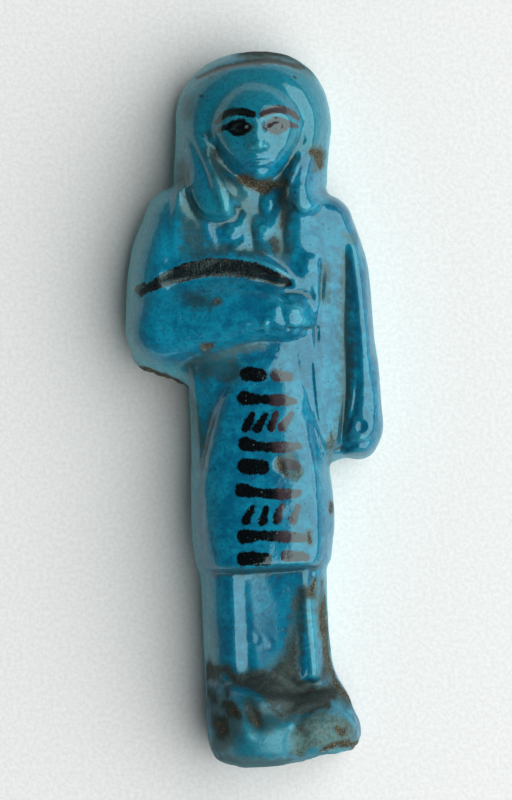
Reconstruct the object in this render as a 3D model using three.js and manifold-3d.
// Ushabti figurine: a small overseer figure of glazed faience in daily dress, one solid pressed in an
// open mould. It lies on its flat back. Millimetres: +Z rises out of the face, +Y runs from the soles to
// the crown and +X is the side of the hanging arm. The origin is on the resting surface, under the middle.
//
// The front is a relief: every form has an outline in plan and a height. Broad masses melt into each other
// by a smooth maximum, and thin layers lie on top of them. Heights are measured from the resting surface.
import * as THREE from "three";
import { mergeVertices } from "three/addons/utils/BufferGeometryUtils.js";
import Module from "manifold-3d";

// Driving dimensions
const LENGTH = 110; // soles to crown
const PARTING = 5; // height of the mould's parting line, where front and back meet
const BLEND = 1.4; // how far the glaze bridges the valley between two masses
const BACK_ROUNDING = 4.5; // how far in from the outline the back starts to turn up
const BACK_SAG = 0.2; // the back as moulded hangs this far below the plane that it is ground flat to
const MIDLINE = 2.4; // X of the line through nose, throat and apron, a little off the middle as moulded

// ---------------------------------------------------------------------------------------------------------
// Small functions

const clamp01 = (t) => THREE.MathUtils.clamp(t, 0, 1);

// 1 inside, 0 outside, with a soft edge of the given width just inside q = 1.
const plateau = (q, edge) => 1 - THREE.MathUtils.smoothstep(q, 1 - edge, 1);

// A bell of height 1 around 0.
const bell = (t) => Math.exp(-t * t);

// A superelliptic dome: 1 at q = 0 and 0 at q = 1, falling away steadily outside.
const dome = (q, power) => (q < 1 ? (1 - q ** power) ** (1 / power) : 4 * (1 - q));

function smoothMax(a, b, width) {
  const overlap = Math.max(width - Math.abs(a - b), 0) / width;
  return Math.max(a, b) + (overlap * overlap * width) / 4;
}

// How far (x, y) is from the middle of an oval, 1 at its edge.
const oval = (x, y, [cx, cy], [rx, ry]) => Math.hypot((x - cx) / rx, (y - cy) / ry);

// ---------------------------------------------------------------------------------------------------------
// Plan forms. Each returns (x, y) => { q, top }: q is 0 on the form's middle line and 1 at its edge.

// A column along the body. Stations are [y, left edge, right edge, top], and both ends are rounded off. Its
// crown runs along x = crest, or else along the middle.
function column({ stations, footCap, headCap, power = 2.3, crest }) {
  const ys = stations.map(([y]) => y);
  const sizes = new THREE.CubicInterpolant(ys, stations.flatMap(([, ...rest]) => rest), 3);
  const first = ys[0];
  const last = ys[ys.length - 1];
  return (x, y) => {
    const [left, right, top] = sizes.evaluate(THREE.MathUtils.clamp(y, first, last));
    const crown = crest ?? (left + right) / 2;
    const across = x < crown ? (crown - x) / (crown - left) : (x - crown) / (right - crown);
    const along = Math.max(0, (y - last) / headCap, (first - y) / footCap);
    return { q: (across ** power + along ** power) ** (1 / power), top, power };
  };
}

// A limb along a bent line. Stations are [x, y, radius, top].
function limb({ stations, power = 2, steps = 14 }) {
  const centre = new THREE.CatmullRomCurve3(stations.map(([x, y]) => new THREE.Vector3(x, y, 0)));
  const sizes = new THREE.CatmullRomCurve3(stations.map(([, , r, top]) => new THREE.Vector3(r, top, 0)));
  const centres = centre.getPoints(steps);
  const radii = sizes.getPoints(steps);
  const nearest = new THREE.Vector3();
  return (x, y) => {
    const here = new THREE.Vector3(x, y, 0);
    let best = { q: Infinity, top: 0, power };
    for (let i = 0; i < steps; i++) {
      const piece = new THREE.Line3(centres[i], centres[i + 1]);
      const t = piece.closestPointToPointParameter(here, true);
      piece.at(t, nearest);
      const size = radii[i].clone().lerp(radii[i + 1], t);
      const q = here.distanceTo(nearest) / size.x;
      if (q < best.q) best = { q, top: size.y, power };
    }
    return best;
  };
}

// ---------------------------------------------------------------------------------------------------------
// Masses: the outline of the figure is the outline of these together.

const wig = column({
  stations: [
    [91, -10.8, 13.0, 15.6],
    [95, -10.5, 13.6, 16.8],
    [98, -10.3, 14.1, 17.2],
  ],
  footCap: 9,
  headCap: LENGTH - 98,
  power: 2.25,
  crest: MIDLINE,
});

const chest = column({
  stations: [
    [62, -12.0, 11.0, 14.2],
    [69, -17.0, 14.0, 14.8],
    [76, -17.6, 15.0, 15.4],
    [82, -16.4, 14.6, 15.0],
    [86, -13.6, 11.6, 14.4],
  ],
  footCap: 4,
  headCap: 4,
  power: 3.8,
  crest: 4,
});

const bentUpperArm = limb({
  stations: [
    [-10.8, 84.9, 4.6, 14.0],
    [-13.0, 79.0, 4.9, 14.9],
    [-13.8, 73.0, 5.3, 15.2],
    [-13.8, 67.5, 5.6, 15.2],
  ],
});

const forearm = limb({
  stations: [
    [-13.2, 67.8, 6.2, 16.2],
    [-6.0, 69.2, 6.5, 17.4],
    [1.5, 69.6, 5.1, 18.2],
    [6.0, 68.4, 3.8, 17.8],
  ],
  power: 2.9,
});

// What is left of the web below the elbow, with its broken edge.
const elbowWeb = limb({
  stations: [
    [-14.6, 64.6, 4.0, 11.0],
    [-9.0, 62.4, 4.0, 12.0],
  ],
});

const hangingArm = limb({
  stations: [
    [12.0, 82.8, 4.6, 13.8],
    [15.0, 76.0, 3.5, 13.8],
    [16.2, 66.0, 2.8, 13.2],
    [16.9, 57.0, 2.7, 12.8],
    [16.9, 52.0, 2.9, 13.0],
  ],
  power: 3.2,
});

const hangingFist = limb({
  stations: [
    [16.4, 51.5, 3.4, 13.6],
    [15.7, 49.3, 3.3, 13.2],
  ],
  power: 2.6,
});

// The thin wall of faience that ties the hanging arm to the body.
const armWeb = column({
  stations: [
    [48.4, 5.0, 14.2, 10.8],
    [60.0, 5.0, 17.0, 12.4],
    [80.0, 5.0, 16.0, 13.0],
  ],
  footCap: 2.6,
  headCap: 3,
  power: 3.2,
  crest: 8,
});

const kilt = column({
  stations: [
    [30.8, -10.3, 10.7, 17.2],
    [36.0, -10.7, 11.5, 17.0],
    [42.0, -10.5, 11.4, 16.4],
    [50.0, -10.1, 10.6, 15.6],
    [57.0, -10.1, 10.2, 14.8],
    [64.0, -11.0, 10.6, 14.6],
  ],
  footCap: 0.8,
  headCap: 3,
  power: 3.4,
  crest: MIDLINE,
});

const nearLeg = column({
  stations: [
    [10, -9.8, 5.4, 13.8],
    [22, -9.7, 5.2, 14.4],
    [32, -9.8, 5.2, 14.8],
  ],
  footCap: 3,
  headCap: 2,
  power: 2.1,
  crest: -5,
});

const farLeg = column({
  stations: [
    [10, 2.4, 10.2, 12.6],
    [22, 2.6, 9.9, 13.2],
    [32, 2.6, 10.0, 13.6],
  ],
  footCap: 3,
  headCap: 2,
  power: 2.1,
  crest: 7.4,
});

// The level filling between the legs.
const legWeb = column({
  stations: [
    [10, -4.0, 6.4, 12.6],
    [22, -4.0, 6.4, 13.1],
    [32, -4.0, 6.4, 13.6],
  ],
  footCap: 3,
  headCap: 2,
  power: 5,
});

// The low fin along the outer leg, which runs out to the corner of the foot.
const legFin = limb({
  stations: [
    [8.8, 28.0, 1.1, 9.0],
    [8.9, 18.0, 1.1, 9.0],
    [9.5, 13.5, 1.1, 9.0],
    [11.4, 8.8, 1.5, 10.0],
  ],
});

const nearFoot = column({
  stations: [
    [2.8, -9.3, 6.6, 20.4],
    [5.0, -9.8, 7.0, 21.2],
    [8.4, -9.9, 6.4, 19.2],
  ],
  footCap: 3.3,
  headCap: 7,
  power: 2.4,
});

const farFoot = column({
  stations: [
    [3.2, -2.6, 13.9, 18.8],
    [6.0, -2.0, 13.9, 19.2],
    [8.2, -0.6, 12.8, 17.8],
  ],
  footCap: 3.4,
  headCap: 4.2,
  power: 2.4,
});

const MASSES = [
  wig, chest, bentUpperArm, forearm, elbowWeb, hangingArm, hangingFist, armWeb,
  kilt, nearLeg, farLeg, legWeb, legFin, nearFoot, farFoot,
];

// ---------------------------------------------------------------------------------------------------------
// Layers: thin relief on the masses, in millimetres above or below them.

// The face keeps to thirds from hairline to brow, nose and chin, and is five eyes wide.
const HAIRLINE = 104.4;
const CHIN = 89.2;
const THIRD = (HAIRLINE - CHIN) / 3;
const BROW = HAIRLINE - THIRD;
const NOSE_BASE = BROW - THIRD;
const MOUTH = NOSE_BASE - THIRD / 3;
const EYE = 2.8; // width of one eye
const EYE_LEVEL = BROW - THIRD / 3;
const FACE_HALF_WIDTH = 2.5 * EYE;
const FACE_HALF_HEIGHT = (HAIRLINE - CHIN) / 2;

function faceLayer(x, y) {
  const dx = x - MIDLINE;
  const jaw = 1 - 0.3 * clamp01((BROW - y) / (BROW - CHIN)) ** 1.5; // the face narrows from brow to chin
  const q = Math.hypot(dx / (FACE_HALF_WIDTH * jaw), (y - (HAIRLINE + CHIN) / 2) / FACE_HALF_HEIGHT);
  if (q >= 1.4) return 0;
  // The wig stands up most beside the cheeks.
  const hood = THREE.MathUtils.lerp(1, 0.25, clamp01((y - EYE_LEVEL) / (HAIRLINE - EYE_LEVEL)));
  const groove = -1.2 * hood * bell((q - 1.04) / 0.15);
  const cheeks = 1.9 * clamp01(1 - q * q) ** 0.6;
  const socket = (side) =>
    -0.5 * bell(Math.hypot((dx - side * EYE) / (0.65 * EYE), (y - EYE_LEVEL) / (0.32 * THIRD)));
  const noseLength = BROW - NOSE_BASE;
  const down = (BROW - y) / noseLength; // 0 at the brow, 1 at the base of the nose
  const noseWidth = THREE.MathUtils.lerp(0.32, 0.54, clamp01(down)) * EYE;
  const noseRise = 1.3 * clamp01(down + 0.15) * (1 - THREE.MathUtils.smoothstep(down, 0.92, 1.2));
  const nose = noseRise * bell(dx / noseWidth);
  const lips = 0.45 * bell(dx / (0.75 * EYE)) * bell((y - MOUTH) / (0.22 * THIRD));
  const chin = 0.6 * bell(dx / (0.8 * EYE)) * bell((y - CHIN - 0.3 * THIRD) / (0.3 * THIRD));
  return groove + cheeks + socket(-1) + socket(1) + nose + lips + chin;
}

const bentSideLappet = limb({
  stations: [
    [-7.4, 95.0, 3.2, 0.8],
    [-6.2, 90.6, 3.8, 2.1],
    [-4.5, 87.6, 4.5, 2.5],
  ],
});

const hangingSideLappet = limb({
  stations: [
    [11.2, 95.0, 2.6, 0.8],
    [10.0, 90.6, 3.4, 2.1],
    [8.9, 87.2, 4.2, 2.5],
  ],
});

const handOnChest = limb({
  stations: [
    [4.8, 68.4, 3.2, 0.6],
    [7.8, 68.2, 3.0, 0.8],
  ],
});

const WHIP_KNOB = { centre: [9.4, 76.6], radii: [2.5, 2.4], rise: 1.1 };
const THROAT = { centre: [MIDLINE, 86.2], radii: [3.2, 4.2], depth: 1.2 };

// The stiff front panel of the kilt, thickest at the hem.
const apron = column({
  stations: [
    [31.0, -8.8, 11.0, 1.8],
    [36.0, -9.2, 11.4, 1.8],
    [42.0, -9.2, 11.2, 1.7],
    [47.0, -8.2, 10.4, 1.6],
    [52.0, -6.2, 8.8, 1.5],
    [57.0, -4.3, 7.4, 1.2],
    [60.0, -2.6, 6.2, 0.8],
  ],
  footCap: 0.8,
  headCap: 2.6,
  power: 2.6,
});

// A layer with a rolled edge: full height inside, down to nothing at q = 1.
function laidOn(form, x, y, edge) {
  const { q, top } = form(x, y);
  return top * plateau(q, edge);
}

// The valley beside the hanging arm, and the fold between forearm and chest.
const armValley = limb({
  stations: [
    [15.0, 79.0, 1.2, -1.0],
    [15.2, 70.0, 1.4, -1.6],
    [14.9, 58.0, 1.4, -1.7],
    [13.2, 49.0, 1.3, -1.2],
  ],
});

const sleeveFold = limb({
  stations: [
    [-16.4, 73.2, 0.9, -0.7],
    [-10.0, 76.0, 1.2, -1.1],
    [-3.0, 76.5, 1.2, -1.1],
    [6.0, 73.6, 0.9, -0.7],
  ],
});

function layers(x, y) {
  return (
    faceLayer(x, y) +
    laidOn(bentSideLappet, x, y, 0.4) +
    laidOn(hangingSideLappet, x, y, 0.4) -
    THROAT.depth * plateau(oval(x, y, THROAT.centre, THROAT.radii), 0.7) +
    WHIP_KNOB.rise * plateau(oval(x, y, WHIP_KNOB.centre, WHIP_KNOB.radii), 0.9) +
    laidOn(handOnChest, x, y, 0.6) +
    laidOn(apron, x, y, 0.16) +
    laidOn(armValley, x, y, 0.9) +
    laidOn(sleeveFold, x, y, 0.9)
  );
}

// ---------------------------------------------------------------------------------------------------------
// The plan: a grid of triangles trimmed to the outline

const REACH = { x: 21, low: -2 }; // the grid spans this far to each side, and from here past the crown
const COLUMN_SPACING = 1.0;
const ROW_SPACING = [
  // up to this Y, this step
  [14.6, 1.05],
  [29.4, 1.35],
  [31.2, 0.5],
  [58.0, 1.3],
  [86.0, 1.05],
  [LENGTH + 1, 0.8],
];
const SNAP = 0.3; // a grid point this near to the outline, as a share of an edge, is moved onto it

const covered = (x, y) => MASSES.some((mass) => mass(x, y).q < 1);

function gridLines() {
  const xs = [];
  const ys = [];
  for (let x = -REACH.x; x <= REACH.x; x += COLUMN_SPACING) xs.push(x);
  let y = REACH.low;
  for (const [end, step] of ROW_SPACING) for (; y < end; y += step) ys.push(y);
  return { xs, ys };
}

// The share of the way from an inside point to an outside one at which the outline lies.
function crossing(inside, outside) {
  let [low, high] = [0, 1];
  for (let i = 0; i < 14; i++) {
    const t = (low + high) / 2;
    const x = THREE.MathUtils.lerp(inside.x, outside.x, t);
    const y = THREE.MathUtils.lerp(inside.y, outside.y, t);
    if (covered(x, y)) low = t;
    else high = t;
  }
  return low;
}

// Points with an inside flag and a rim flag, and triangles of their numbers, counterclockwise from above.
function planMesh() {
  const { xs, ys } = gridLines();
  const points = ys.flatMap((y) =>
    xs.map((x) => ({ x, y, inside: covered(x, y), rim: false, height: frontHeight(x, y, Infinity) })),
  );
  const at = (i, j) => j * xs.length + i;
  const cells = [];
  for (let j = 0; j + 1 < ys.length; j++)
    for (let i = 0; i + 1 < xs.length; i++) {
      const [a, b, c, d] = [at(i, j), at(i + 1, j), at(i + 1, j + 1), at(i, j + 1)];
      const rise = (p, q) => Math.abs(points[p].height - points[q].height);
      if (rise(a, c) < rise(b, d)) cells.push([a, b, c], [a, c, d]);
      else cells.push([a, b, d], [b, c, d]);
    }
  const splits = (p, q) => !p.rim && !q.rim && p.inside !== q.inside;

  for (const cell of cells)
    cell.forEach((index, k) => {
      const [p, q] = [points[index], points[cell[(k + 1) % 3]]];
      if (!splits(p, q)) return;
      const [inner, outer] = p.inside ? [p, q] : [q, p];
      const t = crossing(inner, outer);
      if (t > SNAP && t < 1 - SNAP) return;
      const moved = t <= SNAP ? inner : outer;
      moved.x = THREE.MathUtils.lerp(inner.x, outer.x, t);
      moved.y = THREE.MathUtils.lerp(inner.y, outer.y, t);
      moved.rim = true;
    });

  const made = new Map();
  const cut = (a, b) => {
    const key = a < b ? `${a} ${b}` : `${b} ${a}`;
    if (!made.has(key)) {
      const [inner, outer] = points[a].inside ? [points[a], points[b]] : [points[b], points[a]];
      const t = crossing(inner, outer);
      const x = THREE.MathUtils.lerp(inner.x, outer.x, t);
      const y = THREE.MathUtils.lerp(inner.y, outer.y, t);
      made.set(key, points.push({ x, y, inside: true, rim: true }) - 1);
    }
    return made.get(key);
  };
  const triangles = [];
  for (const cell of cells) {
    if (!cell.some((index) => points[index].inside && !points[index].rim)) continue;
    const kept = cell.flatMap((index, k) => {
      const next = cell[(k + 1) % 3];
      const own = points[index].inside || points[index].rim ? [index] : [];
      return splits(points[index], points[next]) ? [...own, cut(index, next)] : own;
    });
    for (let k = 1; k + 1 < kept.length; k++) triangles.push([kept[0], kept[k], kept[k + 1]]);
  }
  return { points, triangles };
}

// ---------------------------------------------------------------------------------------------------------
// Surfaces. depth is the distance in plan to the outline.

function frontHeight(x, y, depth) {
  let height = PARTING;
  for (const mass of MASSES) {
    const { q, top, power } = mass(x, y);
    height = smoothMax(height, PARTING + (top - PARTING) * dome(q, power), BLEND);
  }
  return height + THREE.MathUtils.smoothstep(depth, 0.3, 2.2) * layers(x, y);
}

function backHeight(depth) {
  const turn = clamp01(1 - depth / BACK_ROUNDING);
  return (PARTING + BACK_SAG) * (1 - Math.sqrt(1 - turn * turn)) - BACK_SAG;
}

// The front over the plan and the back under it, sewn together along the outline.
function mouldedSolid() {
  const { points, triangles } = planMesh();
  const used = [...new Set(triangles.flat())];
  const rim = used.filter((index) => points[index].rim).map((index) => points[index]);
  const front = new Map();
  const back = new Map();
  const positions = [];
  const add = (x, y, z) => positions.push(x, y, z) / 3 - 1;
  for (const index of used) {
    const { x, y, rim: onRim } = points[index];
    if (onRim) {
      front.set(index, add(x, y, PARTING));
      back.set(index, front.get(index));
    } else {
      const depth = Math.min(...rim.map((p) => Math.hypot(p.x - x, p.y - y)));
      front.set(index, add(x, y, frontHeight(x, y, depth)));
      back.set(index, add(x, y, backHeight(depth)));
    }
  }
  const index = triangles.flatMap(([a, b, c]) => [
    ...[a, b, c].map((p) => front.get(p)),
    ...[c, b, a].map((p) => back.get(p)),
  ]);
  const geometry = new THREE.BufferGeometry();
  geometry.setAttribute("position", new THREE.Float32BufferAttribute(positions, 3));
  geometry.setIndex(index);
  return geometry;
}

// ---------------------------------------------------------------------------------------------------------
// Cuts

const wasm = await Module();
wasm.setup();

function solidOf(geometry) {
  const bare = geometry.clone();
  bare.deleteAttribute("normal");
  bare.deleteAttribute("uv");
  const merged = mergeVertices(bare, 1e-4);
  return new wasm.Manifold(
    new wasm.Mesh({
      numProp: 3,
      vertProperties: merged.attributes.position.array,
      triVerts: new Uint32Array(merged.index.array),
    }),
  );
}

function geometryOf(solid) {
  const { vertProperties, triVerts } = solid.getMesh();
  const geometry = new THREE.BufferGeometry();
  geometry.setAttribute("position", new THREE.BufferAttribute(vertProperties, 3));
  geometry.setIndex(new THREE.BufferAttribute(triVerts, 1));
  return geometry;
}

// A block with its top face through the point, facing the given way, to cut away what lies beyond the face.
function blockBeyond([x, y, z], direction) {
  const size = 2 * LENGTH; // larger than the figure whichever way it faces
  const block = new THREE.BoxGeometry(size, size, size).translate(0, 0, -size / 2);
  const towards = new THREE.Vector3(...direction).normalize();
  const turn = new THREE.Quaternion().setFromUnitVectors(new THREE.Vector3(0, 0, 1), towards);
  return solidOf(block.applyQuaternion(turn).translate(x, y, z));
}

// The web under the elbow is broken off along a slanting face.
function elbowBreak() {
  const size = [12, 10, 30];
  const slant = -0.38;
  const block = new THREE.BoxGeometry(...size).translate(-size[0] / 2, -size[1] / 2, 0);
  return solidOf(block.rotateZ(slant).translate(-9.6, 58.6, 10));
}

const figure = solidOf(mouldedSolid())
  .subtract(blockBeyond([0, 50, 0], [0, 0, 1])) // ground flat behind
  .subtract(blockBeyond([0, 0, 10], [0, 1, 0])) // cut square under the feet
  .subtract(blockBeyond([3, 0, 10], [-0.19, 1, 0])) // the outer foot's broken sole
  .subtract(elbowBreak());

const geometry = geometryOf(figure);
geometry.computeBoundingBox();
const box = geometry.boundingBox;
geometry.translate(-(box.min.x + box.max.x) / 2, -(box.min.y + box.max.y) / 2, -box.min.z);
geometry.computeVertexNormals();

const faience = new THREE.MeshStandardMaterial({ color: 0x1783a6, roughness: 0.22, metalness: 0 });
const figurine = new THREE.Mesh(geometry, faience);
figurine.name = "figurine";

const ushabti = new THREE.Group();
ushabti.add(figurine);

export default ushabti;
